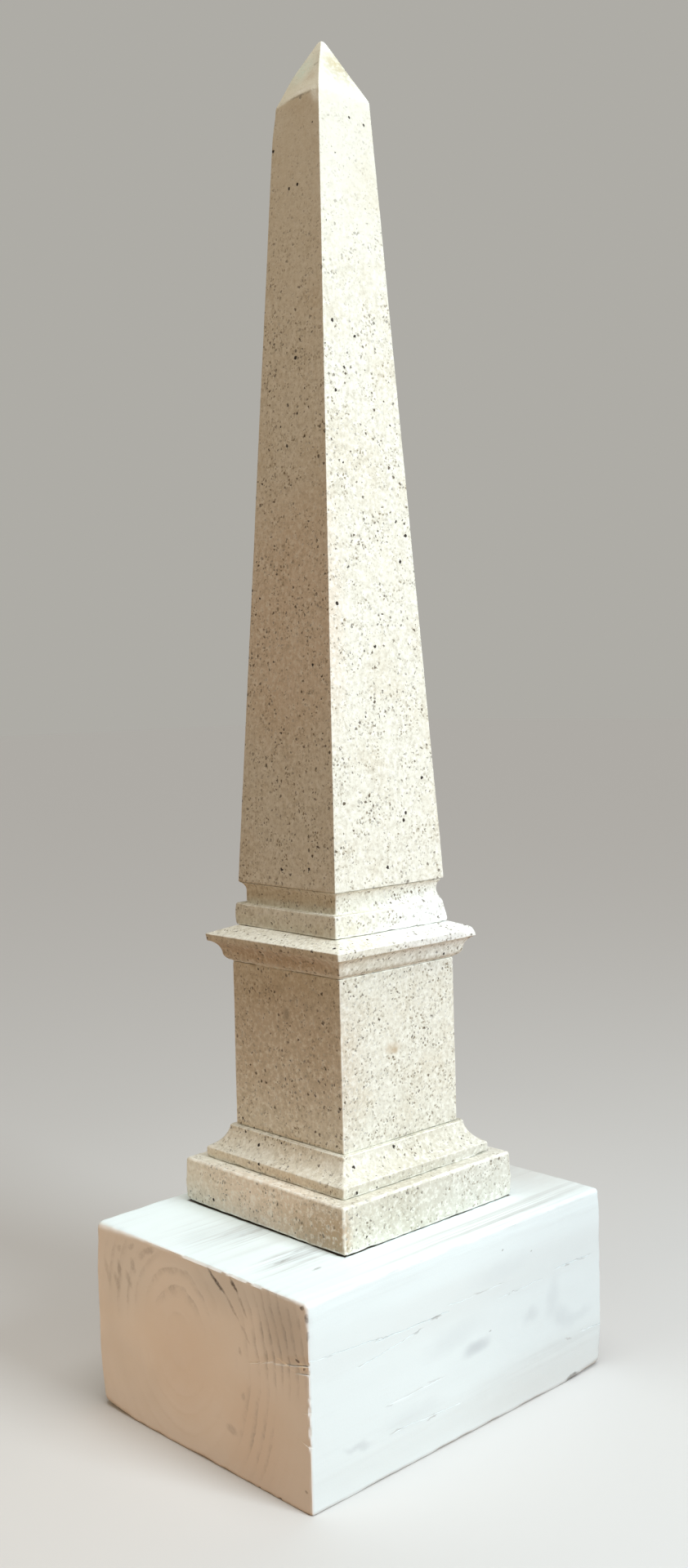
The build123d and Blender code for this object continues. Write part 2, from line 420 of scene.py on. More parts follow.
blotches = eased(tree, grained(tree, along_grain, 210.0, 3.0), 0.38, 0.60, 0.25, 1.0)
streaky = eased(tree, streaks, 0.30, 0.62, 0.5, 1.0)
colour = tinted(tree, product(tree, late, shows, blotches, streaky), base, RING_GREY_AND_SPLIT_SHADE)
hairlines = product(tree, eased(tree, streaks, 0.55, 0.78), maths(tree, "SUBTRACT", 1.0, end_face), 0.05)
colour = tinted(tree, hairlines, colour, PAINT_THIN_AND_SHADE)

# Long thin brush lines on top, where the paint was dragged out over the ridges of the grain.
dragged = add(tree, "ShaderNodeMapping", {"Vector": place, "Scale": (0.012, 1.0, 0.2)}).outputs[0]
brush_lines = eased(tree, grained(tree, dragged, 640.0, 2.0), 0.45, 0.62)
colour = tinted(tree, product(tree, patch["dragged_paint"], brush_lines), colour, RING_GREY_AND_SPLIT_SHADE)

# Marks in the paint: grime in the chips and in the dark streaks of the end grain, wood that shows through,
# and painted highlights where the splintered flakes and the lower lip of a split on the end catch the
# light.
# Each is its centre, its reach, its turn, its colour and its strength.
marks = (
    ((63.0, -61.9, 1.1), (6.0, 2.0, 1.7), (0, 0, 0), GRIME_AND_SPLIT_SHADE, 0.85),
    ((-38.5, -62.3, 74.7), (6.5, 1.0, 0.5), (0, 1, 0), RING_GREY_AND_SPLIT_SHADE, 0.35),
    ((-24.8, -62.3, 74.6), (4.0, 1.0, 0.5), (0, 1, 0), RING_GREY_AND_SPLIT_SHADE, 0.35),
    ((26.0, -62.3, 74.8), (9.0, 1.0, 0.5), (0, 1, 0), RING_GREY_AND_SPLIT_SHADE, 0.35),
    ((20.5, SIDE, 65.8), (0.7, 4.0, 0.5), (0, 0, 0), GRIME_AND_SPLIT_SHADE, 0.55),
    ((37.9, SIDE, 60.6), (0.8, 4.0, 0.5), (0, 0, 0), GRIME_AND_SPLIT_SHADE, 0.55),
    ((12.4, SIDE, 36.1), (0.9, 4.0, 0.4), (0, 0, 0), GRIME_AND_SPLIT_SHADE, 0.45),
    ((END, -59.9, 73.2), (2.0, 1.5, 1.0), (0, 0, 0), GRIME_AND_SPLIT_SHADE, 0.95),
    ((END, -61.9, 69.8), (1.5, 0.9, 2.0), (0, 0, 0), GRIME_AND_SPLIT_SHADE, 0.80),
    ((END, -62.2, 64.0), (1.0, 0.6, 2.6), (0, 0, 0), GRIME_AND_SPLIT_SHADE, 0.45),
    ((END, -59.7, 8.0), (2.0, 0.8, 0.8), (0, 0, 0), GRIME_AND_SPLIT_SHADE, 0.55),
    # The next two are painted highlights, on the splintered flakes and on the lower lip of a split.
    ((END, -59.0, 52.2), (2.0, 4.2, 1.5), (5, 0, 0), FLAKE_HIGHLIGHT, 0.95),
    ((END, -50.0, 50.6), (2.0, 7.0, 0.5), (12, 0, 0), FLAKE_HIGHLIGHT, 0.55),
    ((END, -56.6, 53.6), (1.5, 1.3, 0.8), (0, 0, 0), GRIME_AND_SPLIT_SHADE, 0.95),
    ((END, -60.2, 51.6), (1.5, 1.0, 0.8), (0, 0, 0), GRIME_AND_SPLIT_SHADE, 0.95),
    ((END, -13.4, 70.3), (3.0, 7.6, 1.25), (35, 0, 0), GRIME_AND_SPLIT_SHADE, 0.95),
    ((END, -22.0, 62.8), (3.0, 6.5, 1.0), (47, 0, 0), GRIME_AND_SPLIT_SHADE, 0.42),
    ((END, -29.0, 55.0), (3.0, 5.0, 1.0), (52, 0, 0), RING_GREY_AND_SPLIT_SHADE, 0.40),
    ((END, -23.4, 71.2), (3.0, 4.0, 1.15), (50, 0, 0), GRIME_AND_SPLIT_SHADE, 0.95),
    ((END, -28.0, 64.8), (3.0, 5.5, 0.9), (56, 0, 0), GRIME_AND_SPLIT_SHADE, 0.35),
    ((END, 27.0, 71.4), (3.0, 4.4, 1.9), (-20, 0, 0), GRIME_AND_SPLIT_SHADE, 0.30),
    ((END, 31.4, 69.0), (3.0, 4.4, 1.7), (-46, 0, 0), RING_GREY_AND_SPLIT_SHADE, 0.32),
    ((END, 47.0, 59.5), (3.0, 1.8, 4.6), (-6, 0, 0), GRIME_AND_SPLIT_SHADE, 0.32),
    ((END, 48.9, 53.6), (3.0, 1.9, 5.2), (-22, 0, 0), RING_GREY_AND_SPLIT_SHADE, 0.42),
    ((END, 37.8, 62.8), (3.0, 2.0, 4.2), (-16, 0, 0), GRIME_AND_SPLIT_SHADE, 0.24),
    ((END, 40.9, 56.6), (3.0, 2.1, 4.4), (-26, 0, 0), RING_GREY_AND_SPLIT_SHADE, 0.46),
    ((END, 55.0, 56.0), (3.0, 1.8, 7.0), (-18, 0, 0), RING_GREY_AND_SPLIT_SHADE, 0.30),
    ((END, 46.6, 67.6), (3.0, 2.4, 1.6), (-40, 0, 0), RING_GREY_AND_SPLIT_SHADE, 0.32),
    ((END, 38.5, 70.3), (3.0, 2.8, 1.7), (-30, 0, 0), RING_GREY_AND_SPLIT_SHADE, 0.36),
    ((END, -25.8, 47.8), (3.0, 1.0, 2.0), (-12, 0, 0), GRIME_AND_SPLIT_SHADE, 0.30),
    ((END, -20.0, 16.8), (3.0, 4.0, 2.4), (10, 0, 0), RING_GREY_AND_SPLIT_SHADE, 0.40),
    ((END, -27.0, 31.5), (3.0, 1.6, 2.0), (0, 0, 0), RING_GREY_AND_SPLIT_SHADE, 0.35),
    ((-60.5, -25.6, TOP), (6.5, 0.9, 3.0), (0, 0, 2), GRIME_AND_SPLIT_SHADE, 0.42),
    ((-48.5, -21.9, TOP), (6.0, 1.0, 3.0), (0, 0, 2), GRIME_AND_SPLIT_SHADE, 0.36),
    ((-57.3, -40.3, TOP), (3.0, 1.0, 3.0), (0, 0, 0), GRIME_AND_SPLIT_SHADE, 0.55),
    ((-48.0, 5.8, TOP), (12.0, 1.6, 3.0), (0, 0, 2), RING_GREY_AND_SPLIT_SHADE, 0.38),
    ((-55.0, 11.8, TOP), (12.0, 1.2, 3.0), (0, 0, 8), RING_GREY_AND_SPLIT_SHADE, 0.20),
)
# Dashes of painted shade where the side's hairline splits show dark. Each is x and z of its start, x and z
# of its end, half its thickness and its strength.
split_shade_dashes = (
    (-22.0, 50.8, -14.5, 50.6, 0.60, 0.80), (-31.5, 48.2, -26.0, 48.7, 0.50, 0.60),
    (-52.0, 52.6, -42.0, 51.6, 0.40, 0.42), (-77.0, 54.5, -70.0, 53.6, 0.35, 0.35),
    (1.0, 53.2, 13.5, 52.7, 0.40, 0.45), (21.0, 47.6, 32.0, 47.3, 0.40, 0.45),
    (58.0, 48.6, 62.5, 48.2, 0.50, 0.55), (64.0, 49.2, 73.5, 48.4, 0.45, 0.50),
    (-46.5, 26.4, -41.5, 25.9, 0.40, 0.40), (-25.0, 28.0, -15.0, 26.9, 0.40, 0.30),
    (-46.0, 15.6, -35.0, 15.5, 0.40, 0.45), (-25.0, 13.7, -18.0, 14.2, 0.55, 0.55),
    (57.0, 18.5, 63.5, 17.3, 0.55, 0.50),
)
for x0, z0, x1, z1, thick, strength in split_shade_dashes:
    turn = (0.0, -math.degrees(math.atan2(z1 - z0, x1 - x0)), 0.0)
    reach = (math.hypot(x1 - x0, z1 - z0) / 2, 3.0, thick)
    marks += ((((x0 + x1) / 2, SIDE, (z0 + z1) / 2), reach, turn, RING_GREY_AND_SPLIT_SHADE, strength),)
grain = eased(tree, streaks, 0.25, 0.60, 0.45, 1.0)
for centre, reach, turn, tint, strength in marks:
    mask = spot(tree, torn, centre, reach, turn, inner=0.35)
    colour = tinted(tree, product(tree, mask, grain, strength), colour, tint)

# A rim of painted shade lies on the timber's top in the joint under the plinth's lifted edge.
PEDESTAL_TURN = math.radians(-0.4)
PEDESTAL_PLACE = (4.3 * MM, 6.6 * MM, TOP * MM)
GAP_SHADE_REACH = (47.3 * MM, 47.3 * MM, 47.0 * MM)
inputs = {"Vector": torn_edges(tree, place, 260.0, 1.3 * MM), "Location": PEDESTAL_PLACE,
          "Rotation": (0.0, 0.0, PEDESTAL_TURN), "Scale": GAP_SHADE_REACH}
stood = add(tree, "ShaderNodeMapping", inputs, vector_type="TEXTURE").outputs[0]
sides = add(tree, "ShaderNodeSeparateXYZ", {"Vector": stood}).outputs
outward = maths(tree, "MAXIMUM", maths(tree, "ABSOLUTE", sides["X"]), maths(tree, "ABSOLUTE", sides["Y"]))
# Painted shade: the timber's top darkens in a rim just inside the plinth's edge.
under = product(tree, eased(tree, outward, 1.006, 0.988), maths(tree, "GREATER_THAN", axes["Z"], 70.0 * MM))
colour = tinted(tree, under, colour, GAP_SHADE)

# Painted shade, with some grime, in the opened splits, then the relief of the grain and of the brushed
# paint.
split_shade = add(tree, "ShaderNodeAttribute", attribute_name="opened").outputs["Fac"]
colour = tinted(tree, eased(tree, split_shade, 0.10, 0.6, 0.0, 0.8), colour, GRIME_AND_SPLIT_SHADE)
pores = product(tree, grained(tree, place, 1300.0, 2.0), 0.25)
raised = maths(tree, "ADD", product(tree, late, 0.15), pores)
brushed = maths(tree, "ADD", product(tree, streaks, 0.2), raised)
bump = add(tree, "ShaderNodeBump", {"Height": brushed, "Strength": 0.55, "Distance": 0.16 * MM})
tree.links.new(colour, shader.inputs["Base Color"])
tree.links.new(eased(tree, patchy, 0.3, 0.7, 0.70, 0.50), shader.inputs["Roughness"])
tree.links.new(bump.outputs[0], shader.inputs["Normal"])
block.data.materials.append(paint)


# Plinth
# The plain slab that the pedestal stands on, cast in the same pale speckled stone as all above it. Its
# faces are rubbed a little round by hand, and its edges are worn soft and uneven, so that it bears on the
# timber with a thin dark gap under it.
PLINTH_LOW = Vector((-47.65, -47.65, 0.0)) * MM
PLINTH_HIGH = Vector((47.65, 47.65, 18.4)) * MM
PLINTH_BEVEL = 1.2 * MM
PLINTH_CUTS = (104, 104, 24)
PLINTH_HEAD_SHRINK = 0.009


def settled(bm, name, node, turn):
    """The stone turned and set down where its node is, and made the node's stand-in."""
    low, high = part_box(node)
    bmesh.ops.rotate(bm, verts=bm.verts, cent=(0, 0, 0), matrix=Matrix.Rotation(turn, 3, "Z"))
    bmesh.ops.translate(bm, verts=bm.verts, vec=((low.x + high.x) / 2, (low.y + high.y) / 2, low.z))
    piece = finished(bm, name)
    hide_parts(node)
    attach(piece, "root")
    return piece


def uneven(point, seed, swell, grit):
    """How far a hand-rubbed face stands off its true plane, in metres, never outwards."""
    here = point + Vector((0.0, 0.0, seed))
    swelling = swell * (noise.noise(here * 26.0) - 0.35)
    return min(0.0, swelling + grit * (noise.noise(here * 420.0) - 0.4)) * MM


def plinth_edge_radius(point):
    radius = 1.15 + 0.5 * noise.noise(point * 60.0) + 0.4 * noise.noise(point * 210.0)
    if point.z < PLINTH_HIGH.z / 2:
        radius -= 0.3 - 0.3 * noise.noise(point * 95.0 + Vector((3.0, 0.0, 0.0)))
    radius += 1.0 * near(point, (47.6, -47.6, 0.0), 12.0) + 1.2 * near(point, (-47.6, 47.6, 0.0), 12.0)
    return max(0.5, radius) * MM


def relieved(point):
    """How far the plinth's underside is lifted off the timber, most at its outer edge."""
    inward = PLINTH_HIGH.x - max(abs(point.x), abs(point.y))
    lift = 0.3 + 0.3 * noise.noise(point * 55.0 + Vector((0.0, 7.0, 0.0)))
    lift += 0.3 * noise.noise(point * 190.0)
    lift += 0.3 if point.x < -46 * MM else -0.1
    outward = max(0.0, 1.0 - inward / (4.5 * MM)) ** 0.5
    return max(0.12, lift) * outward * max(0.0, 1.0 - point.z / (5 * MM)) * MM


def arris_share(vert):
    """0 on a flat or hollow place, and about 0.3 on a right-angled arris. A sharper fold is left alone."""
    bend = max(1.0 - face.normal.dot(vert.normal) for face in vert.link_faces)
    sag = sum((face.calc_center_median() - vert.co).dot(vert.normal) for face in vert.link_faces)
    return bend if sag < 0 and bend < 0.5 else 0.0


plinth_bm = gridded_block(PLINTH_LOW, PLINTH_HIGH, PLINTH_BEVEL, PLINTH_CUTS)
plinth_bm.normal_update()
rubbed = plinth_bm.verts.layers.float.new("rubbed")
for vert in plinth_bm.verts:
    vert[rubbed] = arris_share(vert)
for vert in plinth_bm.verts:
    point = rubbed_round(vert.co, (PLINTH_LOW + PLINTH_HIGH) / 2, (PLINTH_HIGH - PLINTH_LOW) / 2,
                         plinth_edge_radius(vert.co))
    narrowing = 1.0 - PLINTH_HEAD_SHRINK * (point.z / PLINTH_HIGH.z) ** 2
    point = Vector((point.x * narrowing, point.y * narrowing, point.z))
    if vert.normal.z > -0.9:
        point += vert.normal * uneven(vert.co, seed=0.1, swell=0.28, grit=0.06)
    point.z += relieved(vert.co)
    vert.co = point
plinth = settled(plinth_bm, "rubbed_plinth", "plinth", PEDESTAL_TURN)

STONE_PALE = (0.80, 0.79, 0.69)
STONE_WARM = (0.70, 0.64, 0.50)
STONE_WHITE = (0.97, 0.975, 0.90)
STONE_GREY = (0.50, 0.46, 0.365)
FLECK_FAINT = (0.28, 0.235, 0.16)
FLECK_BROWN = (0.10, 0.075, 0.048)
FLECK_DARK = (0.035, 0.027, 0.022)
STAIN = (0.50, 0.37, 0.22)
STONE_STAINED_AND_SHADED = (0.60, 0.475, 0.34)
STONE_DUSTY_AND_SHADED = (0.55, 0.522, 0.425)
STONE_BLEACHED_AND_HIGHLIT = (0.93, 0.97, 0.99)
STONE_RUSTED = (0.78, 0.59, 0.44)
STONE_YELLOWED = (0.50, 0.36, 0.22)
PAINTED_TIP_LIGHT = (0.96, 0.98, 0.85)
STONE_LICHENED = (0.65, 0.575, 0.375)
STONE_DULL = (0.56, 0.52, 0.395)
PAINTED_SKYLIGHT = (0.76, 0.90, 0.80)


def flecks(tree, place, spacing, radius, share, soft):
    """Grains in the stone, one to each cell of a spacing, of a radius, of which only a share are dark."""
    cells = add(tree, "ShaderNodeTexVoronoi", {"Vector": place, "Scale": 1.0 / spacing, "Randomness": 1.0})
    drawn = add(tree, "ShaderNodeSeparateColor", {"Color": cells.outputs["Color"]}).outputs
    reach = eased(tree, drawn[1], 0.0, 1.0, 0.45 * radius / spacing, 1.35 * radius / spacing)
    inside = maths(tree, "SUBTRACT", reach, cells.outputs["Distance"])
    body = eased(tree, inside, 0.0, soft * radius / spacing)
    dark = maths(tree, "LESS_THAN", drawn[0], share)
    return product(tree, body, dark, eased(tree, drawn[2], 0, 1, 0.4, 1.0))


stone, tree, shader, place = new_material("speckled_cast_stone")
torn = torn_edges(tree, torn_edges(tree, place, 900.0, 0.9 * MM), 2600.0, 0.5 * MM)
smeared = torn_edges(tree, place, 1000.0, 1.5 * MM)
clouds = grained(tree, place, 42.0, 4.0)
mottle = grained(tree, place, 520.0, 3.0, 0.6)
gathered = grained(tree, place, 130.0, 3.0)
colour = tinted(tree, eased(tree, clouds, 0.44, 0.70, 0.0, 0.45), STONE_PALE, STONE_WARM)

# Broad tints under the speckle: rust low down and up the shaft's shaded side, a yellowed patch and a duller
# olive-grey on the plinth, a paler far end to it, painted shade under the cap's fascia on both sides and
# down the die's shaded side, and a painted highlight on the cap's top at the right. Each is its centre, its
# reach along each way, its colour and its strength.
broad_stains = (
    ((-47.0, 2.0, 86.0), (16.0, 66.0, 24.0), STONE_RUSTED, 0.55),
    # Painted shade under the fascia on the shaded side.
    ((-33.0, 6.6, 180.0), (9.0, 60.0, 6.5), STONE_STAINED_AND_SHADED, 0.66),
    # A painted highlight on the cap's top at the right.
    ((24.0, -26.0, 188.0), (44.0, 26.0, 22.0), STONE_BLEACHED_AND_HIGHLIT, 0.60),
    # Painted shade down the die's shaded side, under the cap.
    ((-34.0, 6.6, 140.0), (26.0, 80.0, 52.0), STONE_STAINED_AND_SHADED, 0.50),
    # A duller olive-grey along the plinth's lit side.
    ((24.0, -46.0, 88.0), (110.0, 42.0, 34.0), STONE_DUSTY_AND_SHADED, 0.76),
    # Paler and bluer towards the plinth's far end.
    ((52.0, -41.0, 86.0), (70.0, 30.0, 26.0), STONE_BLEACHED_AND_HIGHLIT, 0.20),
    ((-46.0, -45.0, 82.0), (8.0, 62.0, 16.0), STONE_YELLOWED, 0.88),
    # Painted shade under the fascia on the lit side.
    ((12.0, -29.0, 177.0), (70.0, 16.0, 8.0), STONE_DUSTY_AND_SHADED, 0.50),
    ((-22.0, 6.6, 315.0), (14.0, 60.0, 75.0), STONE_RUSTED, 0.36),
)
for centre, reach, tint, strength in broad_stains:
    colour = tinted(tree, product(tree, spot(tree, torn, centre, reach), strength), colour, tint)

# The speckle, from pale and faint grains to a few coarse dark ones. It gathers in clusters, more so on the
# plinth, and thins out towards the tip.
level = add(tree, "ShaderNodeSeparateXYZ", {"Vector": place}).outputs["Z"]
low_down = eased(tree, level, 92 * MM, 108 * MM, 0.85, 1.0)
high_up = eased(tree, level, 400 * MM, 505 * MM, 1.0, 0.35)
sparser = product(tree, high_up, low_down)
whiter = product(tree, eased(tree, mottle, 0.48, 0.66, 0.0, 0.52), sparser)
colour = tinted(tree, whiter, colour, STONE_WHITE)
greyer = product(tree, eased(tree, mottle, 0.48, 0.31, 0.0, 0.46), sparser)
colour = tinted(tree, greyer, colour, STONE_GREY)
pale = flecks(tree, smeared, spacing=1.9 * MM, radius=0.50 * MM, share=0.90, soft=0.5)
fine = flecks(tree, smeared, spacing=1.4 * MM, radius=0.50 * MM, share=0.97, soft=0.6)
small = flecks(tree, smeared, spacing=1.9 * MM, radius=0.52 * MM, share=0.92, soft=0.5)
middling = flecks(tree, smeared, spacing=2.9 * MM, radius=0.60 * MM, share=0.55, soft=0.5)
coarse = flecks(tree, torn, spacing=5.4 * MM, radius=0.66 * MM, share=0.55, soft=0.4)
inputs = {"Vector": smeared, "Scale": 1.0 / (2.6 * MM)}
veins = add(tree, "ShaderNodeTexVoronoi", inputs, feature="DISTANCE_TO_EDGE")
broken = eased(tree, grained(tree, place, 620.0, 2.0), 0.50, 0.60)
threads = product(tree, eased(tree, veins.outputs["Distance"], 0.16, 0.05), broken)
apart = eased(tree, level, 92 * MM, 112 * MM, 0.0, 0.30)
cluster = product(tree, eased(tree, gathered, 0.42, 0.56, apart, 1.0), sparser)
colour = tinted(tree, product(tree, pale, sparser, 0.80), colour, STONE_WHITE)
colour = tinted(tree, product(tree, threads, cluster, 0.28), colour, FLECK_FAINT)
colour = tinted(tree, product(tree, fine, cluster, 0.96), colour, FLECK_FAINT)
colour = tinted(tree, product(tree, small, cluster, 0.96), colour, FLECK_BROWN)
colour = tinted(tree, product(tree, middling, sparser, 0.95), colour, FLECK_BROWN)
colour = tinted(tree, product(tree, coarse, 1.5), colour, FLECK_DARK)

# Small stains over the speckle, in the middle of the die and on its shaded side.
stains = (
    ((-0.3, -25.4, 143.3), (6.0, 4.0, 3.2), STAIN, 0.40),
    ((0.8, -25.4, 142.2), (2.4, 4.0, 1.5), STAIN, 0.45),
    ((-27.8, 6.0, 157.0), (4.0, 2.6, 4.2), STONE_GREY, 0.50),
    ((-27.8, 6.0, 157.0), (4.0, 2.0, 3.0), FLECK_BROWN, 0.22),
)
# Stains on the pyramidion, over its painted light from above, that end in a white rim and a dark one below
# it, and a painted sky light on its shaded side.
tip_stains = (
    ((10.0, -3.5, 528.0), (26.0, 14.0, 17.0), STONE_DULL, 0.95),
    ((6.0, 0.8, 528.0), (7.0, 7.0, 7.0), STONE_LICHENED, 0.90),
    # Painted sky light, pale and greenish, on the shaded side.
    ((-2.5, 9.5, 526.0), (9.0, 11.0, 11.0), PAINTED_SKYLIGHT, 0.85),
    ((-4.5, 2.5, 521.5), (5.0, 6.0, 5.0), STONE_STAINED_AND_SHADED, 0.45),
    ((-2.9, 2.0, 526.7), (1.6, 1.6, 1.0), FLECK_BROWN, 0.85),
    ((-8.0, 5.0, 515.9), (3.0, 12.0, 1.3), STONE_WHITE, 0.80),
    ((-9.0, 4.0, 514.0), (3.0, 12.0, 0.9), FLECK_BROWN, 0.50),
)
for centre, reach, tint, strength in stains:
    colour = tinted(tree, product(tree, spot(tree, torn, centre, reach), strength), colour, tint)
# The pyramidion is painted paler all round above its foot, standing for light from above.
tip_light = eased(tree, level, 510 * MM, 518 * MM, 0.0, 0.75)
colour = tinted(tree, tip_light, colour, PAINTED_TIP_LIGHT)
blotchy = eased(tree, mottle, 0.35, 0.60, 0.4, 1.0)
for centre, reach, tint, strength in tip_stains:
    mask = product(tree, spot(tree, torn, centre, reach, inner=0.0), blotchy, strength)
    colour = tinted(tree, mask, colour, tint)

# Bare pale stone where the arrises are rubbed, then the relief, with the dark grains as pits.
rubbed = add(tree, "ShaderNodeAttribute", attribute_name="rubbed").outputs["Fac"]
uneven_wear = eased(tree, grained(tree, place, 260.0, 3.0), 0.35, 0.60, 0.15, 0.60)
bare = product(tree, eased(tree, rubbed, 0.004, 0.018), uneven_wear)
colour = tinted(tree, bare, colour, STONE_WHITE)
sandy = grained(tree, place, 1900.0, 2.0)
dark_grains = maths(tree, "ADD", coarse, maths(tree, "ADD", middling, product(tree, small, 0.6)))
relief = maths(tree, "SUBTRACT", maths(tree, "ADD", product(tree, sandy, 0.6), mottle), dark_grains)
bump = add(tree, "ShaderNodeBump", {"Height": relief, "Strength": 0.5, "Distance": 0.14 * MM})
tree.links.new(colour, shader.inputs["Base Color"])
tree.links.new(eased(tree, mottle, 0.3, 0.7, 0.86, 0.68), shader.inputs["Roughness"])
tree.links.new(bump.outputs[0], shader.inputs["Normal"])
shader.inputs["Specular IOR Level"].default_value = 0.25
plinth.data.materials.append(stone)


# Pedestal base moulding
# An upright band with a hollow slope over it, run round all four sides of one stone and mitred at the
# corners. A small lip at its head stands clear of the die.
def run(start, end, steps, rise=0.0):
    """Points from start to end, after start, on a shallow arc that stands off its chord by rise."""
    way = Vector(end) - Vector(start)
    aside = Vector((way.y, -way.x)).normalized() * rise
    shares = [step / steps for step in range(1, steps + 1)]
    return [Vector(start) + way * s + aside * 4 * s * (1 - s) for s in shares]


def softened(points, corner, radius, steps=4):
    """Points with the corner nearest to the given one cut back by radius and rounded."""
    nearest = min(range(1, len(points) - 1), key=lambda i: (points[i] - Vector(corner)).length)
    middle = points[nearest]
    before = [p for p in points[:nearest] if (p - middle).length > radius]
    after = [p for p in points[nearest + 1:] if (p - middle).length > radius]
    start = middle + (before[-1] - middle).normalized() * radius
    end = middle + (after[0] - middle).normalized() * radius
    bend = [(1 - s) ** 2 * start + 2 * s * (1 - s) * middle + s * s * end
            for s in (step / steps for step in range(steps + 1))]
    return before + bend + after


def crowded(value, half):
    """Value drawn towards the arrises at plus and minus half, where the detail is."""
    share = min(1.0, abs(value) / half)
    return math.copysign(half * (1.0 - (1.0 - share) ** 1.5), value)


def four_sided(outline, columns, arris, seed, swell, chip):
    """Stone with one outline on its four sides, given in millimetres outwards and upwards from its bed."""
    bm = bmesh.new()
    chain = [bm.verts.new((x * MM, x * MM, z * MM)) for x, z in outline]
    wires = [bm.edges.new(pair) for pair in zip(chain, chain[1:])]
    bmesh.ops.spin(bm, geom=chain + wires, cent=(0, 0, 0), axis=(0, 0, 1), angle=math.tau, steps=4,
                   use_merge=True, use_duplicate=False)
    bmesh.ops.remove_doubles(bm, verts=bm.verts, dist=0.001 * MM)
    mitres = [e for e in bm.edges if (e.verts[0].co.xy - e.verts[1].co.xy).length < 12 * MM
              and e.verts[0].co.x * e.verts[1].co.x > 0 and e.verts[0].co.y * e.verts[1].co.y > 0]
    bmesh.ops.bevel(bm, geom=mitres, offset=arris * MM, offset_type="OFFSET", segments=4, profile=0.5,
                    affect="EDGES", clamp_overlap=True, material=-1)
    bmesh.ops.holes_fill(bm, edges=[e for e in bm.edges if e.is_boundary], sides=0)
    bmesh.ops.recalc_face_normals(bm, faces=bm.faces)
    level = [e for e in bm.edges if along(e, 0, FACE_SPAN) or along(e, 1, FACE_SPAN)]
    bmesh.ops.subdivide_edges(bm, edges=level, cuts=columns, use_grid_fill=True)
    for vert in bm.verts:
        half = max(abs(vert.co.x), abs(vert.co.y)) - 1.6 * arris * MM
        if abs(vert.co.x) < half:
            vert.co.x = crowded(vert.co.x, half)
        if abs(vert.co.y) < half:
            vert.co.y = crowded(vert.co.y, half)
    bm.normal_update()
    rubbed = bm.verts.layers.float.new("rubbed")
    shifts = []
    for vert in bm.verts:
        here = vert.co + Vector((0, 0, seed))
        share = arris_share(vert)
        vert[rubbed] = share
        bite = 0.3 + noise.noise(here * 70.0) + 0.7 * noise.noise(here * 300.0)
        worn = chip * share * bite * MM
        shifts.append(vert.normal * (uneven(vert.co, seed, swell, grit=0.06) - max(worn, 0.0)))
    for vert, shift in zip(bm.verts, shifts):
        vert.co += shift
    return bm


def rub(bm, centre, reach, passes):
    """Rub down what is within reach of a place, more the nearer it is. All in the stone's millimetres."""
    centre = Vector(centre) * MM
    for step in range(passes):
        limit = reach * MM * (step + 1) / passes
        verts = [vert for vert in bm.verts if (vert.co - centre).length < limit]
        bmesh.ops.smooth_vert(bm, verts=verts, factor=0.5, use_axis_x=True, use_axis_y=True,
                              use_axis_z=True)


BAND_HEAD = (41.2, 4.3)
LIP_HEAD = (34.2, 13.4)
outline = [Vector((25.0, 0.0))]
outline += run(outline[-1], (41.2, 0.0), 6)
outline += run(outline[-1], BAND_HEAD, 6)
outline += run(outline[-1], (34.2, 12.2), 14, rise=-1.3)
outline += run(outline[-1], LIP_HEAD, 2)
outline += run(outline[-1], (25.0, 13.4), 10)
outline = softened(outline, BAND_HEAD, 0.6)
outline = softened(outline, LIP_HEAD, 0.6)
moulding_bm = four_sided(outline, columns=60, arris=0.8, seed=0.2, swell=0.26, chip=1.6)
rub(moulding_bm, (41.2, -41.2, 3.0), reach=9.0, passes=8)
rub(moulding_bm, (-41.2, 41.2, 3.0), reach=6.0, passes=4)
base_moulding = settled(moulding_bm, "hollow_base_moulding", "pedestal_base_moulding", PEDESTAL_TURN)
base_moulding.data.materials.append(stone)


# Pedestal die
# The plain trunk of the pedestal, a little narrower at its head than at its foot, bedded on the lip of the
# moulding below with a fine open joint.
DIE_FOOT = (32.15, 0.0)
DIE_HEAD = (31.89, 67.6)
outline = [Vector((25.0, 0.0))]
outline += run(outline[-1], DIE_FOOT, 4)
outline += run(outline[-1], DIE_HEAD, 60)
outline += run(outline[-1], (25.0, 67.6), 4)
outline = softened(outline, DIE_FOOT, 0.45)
outline = softened(outline, DIE_HEAD, 0.45)
die_bm = four_sided(outline, columns=52, arris=0.6, seed=0.3, swell=0.24, chip=1.4)
die = settled(die_bm, "plain_die", "pedestal_die", PEDESTAL_TURN)
die.data.materials.append(stone)


# Pedestal cap
# A bed moulding that swells and then hollows carries an upright fascia. The top is weathered, sloping up to
# the foot of the shaft's own base. The lip is chipped all along, and rubbed round at the right-hand corner.
FASCIA_FOOT = (39.3, 8.5)
CAP_LIP_REACH = 39.8
CAP_LIP_LEVEL = 11.7
CAP_LIP = (CAP_LIP_REACH, CAP_LIP_LEVEL)
CAP_SLOPE = 0.36
